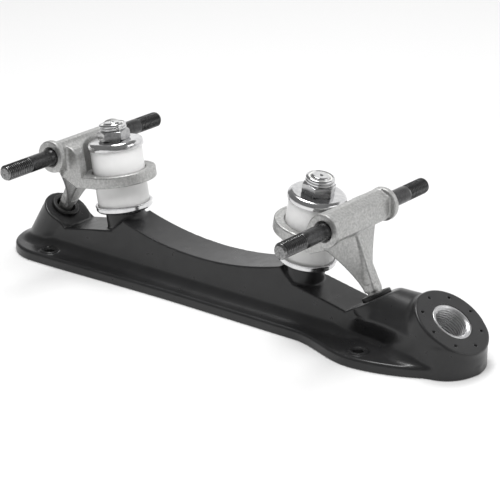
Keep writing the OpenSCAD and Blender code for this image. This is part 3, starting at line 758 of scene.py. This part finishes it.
def hanger_field(x, y, z):
    """Ring, cheeks, bar, arm, collars and pin joined with fillets, then cut by the seats and the bores."""
    y = np.abs(y)
    s, q = along(x, z, *KING_AXIS)
    r = np.hypot(q, y)
    axle_r = np.hypot(x - AXLE[0], z - AXLE[1])
    cheeks = common(outline_field(x, z, CHEEK), y - RING_R, 0.5)
    bar = common(outline_field(x - AXLE[0], z - AXLE[1], BAR) - 0.8, y - BAR_HALF, 0.5)
    collar = common(axle_r - COLLAR_R, np.abs(y - COLLAR_MID) - COLLAR_HALF, 0.7)
    solid = ring_field(x, y, z)
    for limb, fillet in ((cheeks, 0.8), (bar, 1.6), (arm_field(x, y, z), 1.6), (collar, 0.8),
                         (pin_field(x, y, z), 1.0)):
        solid = joined(solid, limb, fillet)
    room = np.maximum(r - ROOM_R, RING_TOP - s)
    seats = [np.maximum(r - SEAT_R, np.maximum(low - s, s - high)) for low, high in SEATS]
    king_bore = np.maximum(r - RING_BORE_R, np.abs(s - RING_MID) - 6.0)
    axle_bore = np.minimum(axle_r - AXLE_BORE_R, axle_r - AXLE_SINK_R - (y - COLLAR_END))
    axle_bore = np.maximum(axle_bore, AXLE_BORE_FROM - y)
    for cut, edge in ((room, 0.4), (seats[0], 0.5), (seats[1], 0.5), (king_bore, 0.4), (axle_bore, 0.15)):
        solid = without(solid, cut, edge)
    return solid


fine = 0.5
hanger_axes = [stations((a, fine), (b, 1)) for a, b in ((40.0, 107.0), (-26.5, 26.5), (13.5, 70.5))]
points, faces, normals = contour(hanger_field, hanger_axes)
for end, turn in ENDS:
    add_piece(end + "_casting", turned_round(points, turn), faces, casting, end + "_truck",
              end + "_hanger", normals=turned_round(normals, turn))
print("hanger:", len(points), "points", 2*len(faces), "triangles")

# %% [markdown]
# ## Turned pieces
# Washers, cushions, cups and nuts come off a lathe or out of a round mould, so each one is a profile of
# (radius, height) points carried round an axis. A Screw modifier could do it too, but a grid of our own
# can be hexed or threaded. Corners are rounded first, because a small round catches the light.

# %% Profiles
def rounded_profile(corners, radii, steps=7):
    """A closed profile whose corners are replaced by arcs, radius over tan(half the corner) from each.

    An arc is a rational curve of three points, whose middle one has the weight sin(half the corner).
    """
    corners = np.asarray(corners, float)
    before, after = np.roll(corners, 1, axis=0) - corners, np.roll(corners, -1, axis=0) - corners
    before /= np.linalg.norm(before, axis=1, keepdims=True)
    after /= np.linalg.norm(after, axis=1, keepdims=True)
    half = 0.5*np.arccos(np.clip((before*after).sum(1), -1, 1))[:, None, None]
    length = np.asarray(radii)[:, None, None]/np.tan(half)
    corner = corners[:, None]
    start, stop = corner + before[:, None]*length, corner + after[:, None]*length
    t = np.linspace(0, 1, steps)[None, :, None]
    a, b, c = (1 - t)**2, 2*np.sin(half)*t*(1 - t), t**2
    return ((a*start + b*corner + c*stop)/(a + b + c)).reshape(-1, 2)


def swept(r, h, segments):
    """x = r cos a, y = r sin a, z = h for every row of radii and heights and every angle a of a turn."""
    a = np.linspace(0, 2*pi, segments, endpoint=False)
    return np.stack([r*np.cos(a), r*np.sin(a), h + 0*a], -1)


def turned(profile, segments=96):
    """A profile of (radius, height) points carried round."""
    return swept(profile[:, :1], profile[:, 1:], segments)


def add_turned(name, grid, material, body, node, axis, turn, sharp=35.0):
    """A turned grid, closed along its profile too, stood on a leaning axis (origin, lean) of one truck."""
    points = turned_round(on_axis(grid, *axis), turn)
    return add_piece(name, points, grid_faces(*grid.shape[:2], True), material, body, node, sharp)


print("lathe ready")

# %% [markdown]
# ## Kingpin stack
# From the seat upwards a truck carries a cup washer, the lower cushion, the hanger's ring, the upper
# cushion, a cap washer and the lock nut. The washers are pressed from sheet: the cup has a rolled lip,
# the cap a well rounded shoulder. All heights are measured from the kingpin's seat.

# %% Washers
lower_cup = rounded_profile([(4.9, 0.0), (13.5, 0.0), (14.4, 1.0), (14.4, 2.75), (14.7, 2.95),
                             (14.7, 3.6), (13.4, 3.6), (13.4, 1.4), (4.9, 1.4)],
                            [0.2, 0.7, 0.5, 0.2, 0.2, 0.3, 0.3, 0.3, 0.2])
upper_cap = rounded_profile([(4.9, 36.2), (14.3, 36.2), (14.3, 32.4), (13.4, 32.4), (13.4, 33.4),
                             (4.9, 33.4)],
                            [0.2, 2.5, 0.35, 0.2, 0.2, 0.2], 12)
for end, turn in ENDS:
    add_turned(end + "_cup_washer", turned(lower_cup), zinc, "base", end + "_lower_retainer",
               KING_AXIS, turn)
    add_turned(end + "_cap_washer", turned(upper_cap), zinc, end + "_adjuster",
               end + "_upper_retainer", KING_AXIS, turn)
print("washers:", len(lower_cup), "and", len(upper_cap), "profile points")

# %% [markdown]
# ## Cushions
# A cushion is a thick ring that bulges a little, because it is always squeezed. When the truck leans,
# one end of it stays with the washer and the other follows the hanger's ring, so it is attached to
# neither body.

# %% Cushions
CUSHION_R, CUSHION_BORE_R, CUSHION_ROUND, CUSHION_BULGE, CUSHION_ROWS = 13.2, 5.0, 0.9, 0.08, 26
# The lower cushions take the greyer urethane, painted shade from the ring over them.
CUSHIONS = (("lower", 1.4, 16.2, shaded_urethane), ("upper", 19.2, 33.4, urethane))


def cushion_profile(low, high):
    """Straight outer wall with a quarter round over the last 7% at each end, plus a half sine bulge."""
    t = np.linspace(0, 1, CUSHION_ROWS)
    edge = CUSHION_ROUND*np.maximum(np.abs(2*t - 1) - 0.86, 0.0)/0.14
    corner = np.sqrt(np.maximum(CUSHION_ROUND**2 - edge**2, 0.0))
    radius = CUSHION_R - CUSHION_ROUND + corner + CUSHION_BULGE*np.sin(pi*t)
    wall = np.stack([radius, low + (high - low)*t], -1)
    return np.concatenate([[(CUSHION_BORE_R, low)], wall, [(CUSHION_BORE_R, high)]])


for end, turn in ENDS:
    for level, low, high, material in CUSHIONS:
        bush = add_turned(end + "_" + level + "_bush", turned(cushion_profile(low, high)), material, None,
                          end + "_" + level + "_cushion", KING_AXIS, turn)
        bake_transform(bush)
print("cushions: 4,", 2*(CUSHION_R + CUSHION_BULGE), "mm across")

# %% [markdown]
# ## Lock nuts
# A lock nut is a hexagon with a round collar, rolled in over a nylon ring that grips the thread. Its
# chamfers are cones, which meet the flats in curved edges. So the nut is turned first, and then every
# point that lies outside the hexagon is pulled in to it.

# %% Lock nut and its ring
NUT_HALF, NUT_FOOT_R, NUT_CROWN_R, NUT_BORE_R = 7.15, 6.95, 6.55, 4.85
NUT_SEAT, COLLAR_FROM = 36.2, 41.5
NUT_TWISTS = np.radians([20.9, 7.9])


def hexed(grid, half):
    """Pulls a turned grid in to a hexagon: a flat is half/cos(angle from its middle) from the axis."""
    a = np.arctan2(grid[..., 1], grid[..., 0])
    r = np.hypot(grid[..., 0], grid[..., 1])
    flat = half/np.cos((a + pi/6) % (pi/3) - pi/6)
    keep = np.minimum(r, flat)/np.maximum(r, 1e-9)
    return grid*np.stack([keep, keep, np.ones_like(keep)], -1)


def spun(grid, angle):
    """Turns a grid about its own axis: (x cos a - y sin a, x sin a + y cos a)."""
    x, y = grid[..., 0], grid[..., 1]
    return np.stack([x*cos(angle) - y*sin(angle), x*sin(angle) + y*cos(angle), grid[..., 2]], -1)


def nut_profile(low):
    """Bore, bearing face, straight chamfers, flats, and the collar with its two rolled rings."""
    corner, t = NUT_HALF/cos(pi/6), np.linspace(0, 1, 14)
    foot = np.stack([NUT_FOOT_R + (corner - NUT_FOOT_R)*t, 0.5*t], -1)
    crown = np.stack([corner - (corner - NUT_CROWN_R)*t, 4.3 + 0.85*t], -1)
    collar = [(6.42, 5.2), (6.4, 5.36), (6.75, 5.46), (7.0, 5.68), (7.05, 5.98), (7.0, 6.3), (6.75, 6.52),
              (6.4, 6.62), (6.38, 6.8), (6.72, 6.9), (6.98, 7.12), (7.05, 7.46), (7.0, 7.86), (6.8, 8.2),
              (6.45, 8.42), (6.1, 8.5), (5.9, 8.44), (5.78, 8.28), (5.76, 6.1), (NUT_BORE_R, 6.0)]
    return np.concatenate([[(NUT_BORE_R, 0.0), (6.9, 0.0)], foot, crown, collar]) + [0.0, low]


nut = hexed(turned(nut_profile(NUT_SEAT)), NUT_HALF)
seal = turned(rounded_profile([(4.82, 42.3), (5.76, 42.3), (5.76, 44.3), (4.82, 44.3)],
                              [0.05, 0.05, 0.2, 0.2]))
for (end, turn), twist in zip(ENDS, NUT_TWISTS):
    piece = add_turned(end + "_nut", spun(nut, twist), shaded_zinc, end + "_nut", end + "_lock_nut",
                       KING_AXIS, turn, 30.0)
    # The flats keep the darker zinc, which is painted shade; the collar gets the bright zinc.
    touch_up(piece, zinc, lambda x, y, z: along(turn*x, z, *KING_AXIS)[0] > COLLAR_FROM)
    add_turned(end + "_nut_seal", seal, lock_nylon, end + "_nut", end + "_nut_ring",
               KING_AXIS, turn)
print("nut:", nut.shape[0], "rings")

# %% [markdown]
# ## Threads
# A screw thread is a radius that depends on height and angle: it repeats once per pitch, and it climbs one
# pitch in a full turn. A bump would look flat at the outline, so a fine grid gives the real helix. The
# depth fades in and out at the ends of the thread, as a die leaves it.

# %% Threaded surface
def thread_wave(height, angle, pitch):
    """0 at the crest, 1 in the root: a clipped triangle wave of height/pitch less angle over a turn."""
    phase = (height/pitch - angle/(2*pi)) % 1.0
    return np.clip((np.abs(2*phase - 1) - 0.12)/0.74, 0.0, 1.0)


def fade_between(h, low, high, start, stop):
    """1 between two heights, falling in straight lines to 0 at them, over the lengths start and stop."""
    return np.clip((h - low)/start, 0, 1)*np.clip((high - h)/stop, 0, 1)


def bar_profile(stops, spacing):
    """Profile of a round bar from (height, radius) stops, with rings about spacing apart in each gap."""
    stops = np.asarray(stops, float)
    gaps = np.hypot(*np.diff(stops, axis=0).T)
    counts = np.maximum(1, np.ceil(gaps/np.asarray(spacing))).astype(int)
    at = np.concatenate([i + np.arange(n)/n for i, n in enumerate(counts)] + [[len(stops) - 1]])
    i = np.arange(len(stops))
    return np.stack([np.interp(at, i, stops[:, 1]), np.interp(at, i, stops[:, 0])], -1)


def threaded(profile, spans, pitch, depth, fade, segments=64):
    """A turned bar whose radius drops by the thread's wave inside each span of heights."""
    a = np.linspace(0, 2*pi, segments, endpoint=False)
    r, h = profile[:, :1], profile[:, 1:]
    amount = sum(fade_between(h, low, high, fade, fade) for low, high in spans)
    return swept(r - depth*amount*thread_wave(h, a, pitch), h, segments)


print("threads ready")

# %% [markdown]
# ## Axles
# Each axle is one bar through the hanger, with a plain length for the bearings and a threaded end for the
# nut. Its cut tips and the crests of its threads get a lighter steel than the black oxide skin: partly
# bare steel where the skin is cut or worn off, partly a painted highlight.

# %% Axles
half_axle = np.array([(0, 4.25), (25.1, 4.25), (25.35, 4.0), (40.8, 4.0), (41.0, 3.97), (56.7, 3.97),
                      (57.4, 3.3), (57.75, 3.0), (57.75, 0.9), (57.6, 0.35), (57.58, 0.0)])
half_spacing = [4.0, 1.0, 3.0, 0.2, 0.14, 0.2, 0.4, 1.0, 0.5, 1.0]
AXLE_PITCH, AXLE_DEPTH, AXLE_THREAD = 1.25, 0.65, (41.2, 57.3)
CREST_WEAR_AND_GLINT_R, CREST_WEAR_AND_GLINT_FROM, TIP_FROM = 3.85, 41.4, 57.0


def worn_and_glinting(x, y, z):
    """The axle's faces on the crests of the thread, far out from its axis, and on its tips. Their lighter
    steel is partly bare metal and partly a painted highlight.
    """
    crest = (np.hypot(np.abs(x) - AXLE[0], z - AXLE[1]) > CREST_WEAR_AND_GLINT_R) & (np.abs(y) > CREST_WEAR_AND_GLINT_FROM)
    return crest | (np.abs(y) > TIP_FROM)


axle_stops = np.concatenate([(half_axle*[-1, 1])[::-1], half_axle[1:]])
axle_rings = bar_profile(axle_stops, half_spacing[::-1] + half_spacing)
axle_spans = [(-AXLE_THREAD[1], -AXLE_THREAD[0]), AXLE_THREAD]
axle_grid = threaded(axle_rings, axle_spans, AXLE_PITCH, AXLE_DEPTH, 0.9)
axle_points = np.stack([AXLE[0] + axle_grid[..., 0], axle_grid[..., 2], AXLE[1] - axle_grid[..., 1]], -1)
for end, turn in ENDS:
    axle = add_piece(end + "_axle_bar", turned_round(axle_points, turn), grid_faces(*axle_grid.shape[:2]),
                     oxide, end + "_truck", end + "_axle", 50.0)
    # Tips and crests get the lighter steel: bare steel plus a painted highlight.
    touch_up(axle, cut_steel_and_glint, worn_and_glinting)
print("axle:", axle_grid.shape[0], "rings")

# %% [markdown]
# ## Kingpins
# The kingpin is a bolt that comes up from the boot side, with its hexagon head let into the plate. Above
# the nut its thread ends in a chamfer and a small dimple.

# %% Kingpins
PIN_R, HEAD_HALF, HEAD_TOP, PIN_PITCH, PIN_DEPTH = 4.7625, 7.15, -24.2, 1.058, 0.5
pin_stops = [(-30.294, 0.0), (-30.294, 6.9), (-29.9, 8.25), (-24.9, 8.25), (-24.294, 6.9),
             (-24.294, PIN_R), (31.0, PIN_R), (44.3, PIN_R), (44.95, 4.2), (45.1, 4.0), (45.1, 1.2),
             (44.3, 0.5), (44.2, 0.0)]
pin_rings = bar_profile(pin_stops, [2.0, 0.3, 2.0, 0.3, 1.0, 6.0, 0.15, 0.2, 0.2, 1.0, 0.3, 0.3])
pin_grid = threaded(pin_rings, [(31.5, 44.9)], PIN_PITCH, PIN_DEPTH, 0.8, 96)
pin_grid = np.where(pin_rings[:, None, 1:] < HEAD_TOP, hexed(pin_grid, HEAD_HALF), pin_grid)
for end, turn in ENDS:
    add_piece(end + "_pin", turned_round(on_axis(pin_grid, *KING_AXIS), turn),
              grid_faces(*pin_grid.shape[:2]), zinc, "base", end + "_kingpin", 38.0)
print("kingpin:", pin_grid.shape[0], "rings")

# %% [markdown]
# ## Toe stop insert and pivot cups
# The toe stop screws into a metal insert that was moulded into the boss, so the nylon isn't worn by the
# thread. The pivot cups are soft bushes with a lip.

# %% Toe stop insert
STEM_PITCH, STEM_WAVE, STEM_CREST, INSERT_SEGMENTS = 1.411, 0.42, 0.2, 128
insert_stops = [(-16.0, 8.3), (-16.0, 9.97), (-0.1, 9.97), (0.02, 9.75), (0.02, 9.2), (-0.9, 7.95),
                (-15.6, 7.95), (-16.0, 8.3)]
insert_rings = bar_profile(insert_stops, [1.0, 4.0, 0.1, 0.3, 0.3, 0.12, 0.3])[:-1]
insert_r, insert_h = insert_rings[:, :1], insert_rings[:, 1:]
in_bore = (insert_r < 9.1)*fade_between(insert_h, -15.8, -0.3, 0.8, 0.9)
insert_turn = np.linspace(0, 2*pi, INSERT_SEGMENTS, endpoint=False)
insert_wave = STEM_WAVE*thread_wave(insert_h, insert_turn, STEM_PITCH) - STEM_CREST
insert_grid = swept(insert_r + in_bore*insert_wave, insert_h, INSERT_SEGMENTS)
add_turned("toe_insert", insert_grid, machined, "base", "toe_stop_insert",
           TOE_AXIS, 1.0, 50.0)
print("insert:", insert_grid.shape[0], "rings")

# %% Pivot cups
cup_profile = rounded_profile([(0.4, -11.0), (6.5, -11.0), (6.5, 0.0), (7.3, 0.0), (7.3, 2.0), (5.0, 2.0),
                               (4.6, -5.0), (3.2, -8.2), (0.4, -9.55)],
                              [0.1, 0.5, 0.1, 0.2, 0.7, 0.5, 1.5, 1.5, 0.1])
for end, turn in ENDS:
    add_turned(end + "_cup", turned(cup_profile), rubber, "base", end + "_pivot_cup",
               PIVOT_AXIS, turn)
print("cups:", len(cup_profile), "profile points")

# %% [markdown]
# ## Floor and light
# The photo is a white packshot on a lit table. Black nylon and bright zinc show mostly what they mirror,
# so the lights draw their shape: a wide panel stands behind the table, a smaller one at the right, and a
# lamp and a soft fill hang above. The table glows a little, which keeps it white. Well in front of the
# object it turns dim, or the near walls of the plate would mirror a white floor and look grey.

# %% Floor
FLOOR_HALF, FLOOR_Z, FLOOR_GLOW = 6.0, -0.0002, 0.14
FRONT, FRONT_FADE = (0.614, -0.789, 0.0), (0.32, 0.55)
floor_mesh = bpy.data.meshes.new("floor")
floor_corners = [(FLOOR_HALF*i, FLOOR_HALF*j, FLOOR_Z) for i, j in ((-1, -1), (1, -1), (1, 1), (-1, 1))]
floor_mesh.from_pydata(floor_corners, [], [(0, 1, 2, 3)])
floor = add_object("floor", floor_mesh)
paper = finish("white_table", (0.56, 0.56, 0.56), 0.9, Emission_Color=(1.0, 1.0, 1.0, 1.0),
               Emission_Strength=FLOOR_GLOW)
where = paper.node_tree.nodes.new("ShaderNodeTexCoord")
forward = paper.node_tree.nodes.new("ShaderNodeVectorMath")
forward.operation = "DOT_PRODUCT"
forward.inputs[1].default_value = FRONT
paper.node_tree.links.new(where.outputs["Object"], forward.inputs[0])
vary(paper, "Base Color", forward.outputs["Value"], 0.565, 0.1, FRONT_FADE)
vary(paper, "Emission Color", forward.outputs["Value"], 1.0, 0.2, FRONT_FADE)
floor_mesh.materials.append(paper)
print("floor:", 2*FLOOR_HALF, "m square")


# %% Lights
def panel(name, place, aim, wide, high, radiance):
    """A soft light at place that points at aim: watts are radiance times pi times its area."""
    data = bpy.data.lights.new(name, "AREA")
    data.shape = "RECTANGLE"
    data.size, data.size_y = wide, high
    data.energy = radiance*pi*wide*high
    back = np.array(place, float) - np.array(aim, float)
    back /= np.linalg.norm(back)
    right = np.cross([0.0, 0.0, 1.0], back)
    right /= np.linalg.norm(right)
    light = add_object(name, data)
    light.matrix_world = standing(place, back, right)
    return light


panel("back", (-0.45, 0.95, 0.42), (-0.45, 0.0, 0.3), 3.0, 0.8, 0.8)
panel("right", (0.95, 0.35, 0.45), (0.09, 0.0, 0.04), 0.6, 0.6, 1.7)
panel("overhead", (-0.24, 0.18, 1.2), (0.0, 0.0, 0.03), 0.45, 0.45, 14.0)
fill = panel("fill", (0.22, -0.36, 1.28), (0.0, 0.0, 0.04), 0.8, 0.8, 8.8)
fill.visible_glossy = False
world = bpy.data.worlds.new("studio")
world.use_nodes = True
room_light = world.node_tree.nodes["Background"]
room_light.inputs["Color"].default_value = (1.0, 1.0, 1.0, 1.0)
room_light.inputs["Strength"].default_value = 0.2
bpy.context.scene.world = world
bpy.context.scene.view_settings.view_transform = "Standard"
print("lights made")
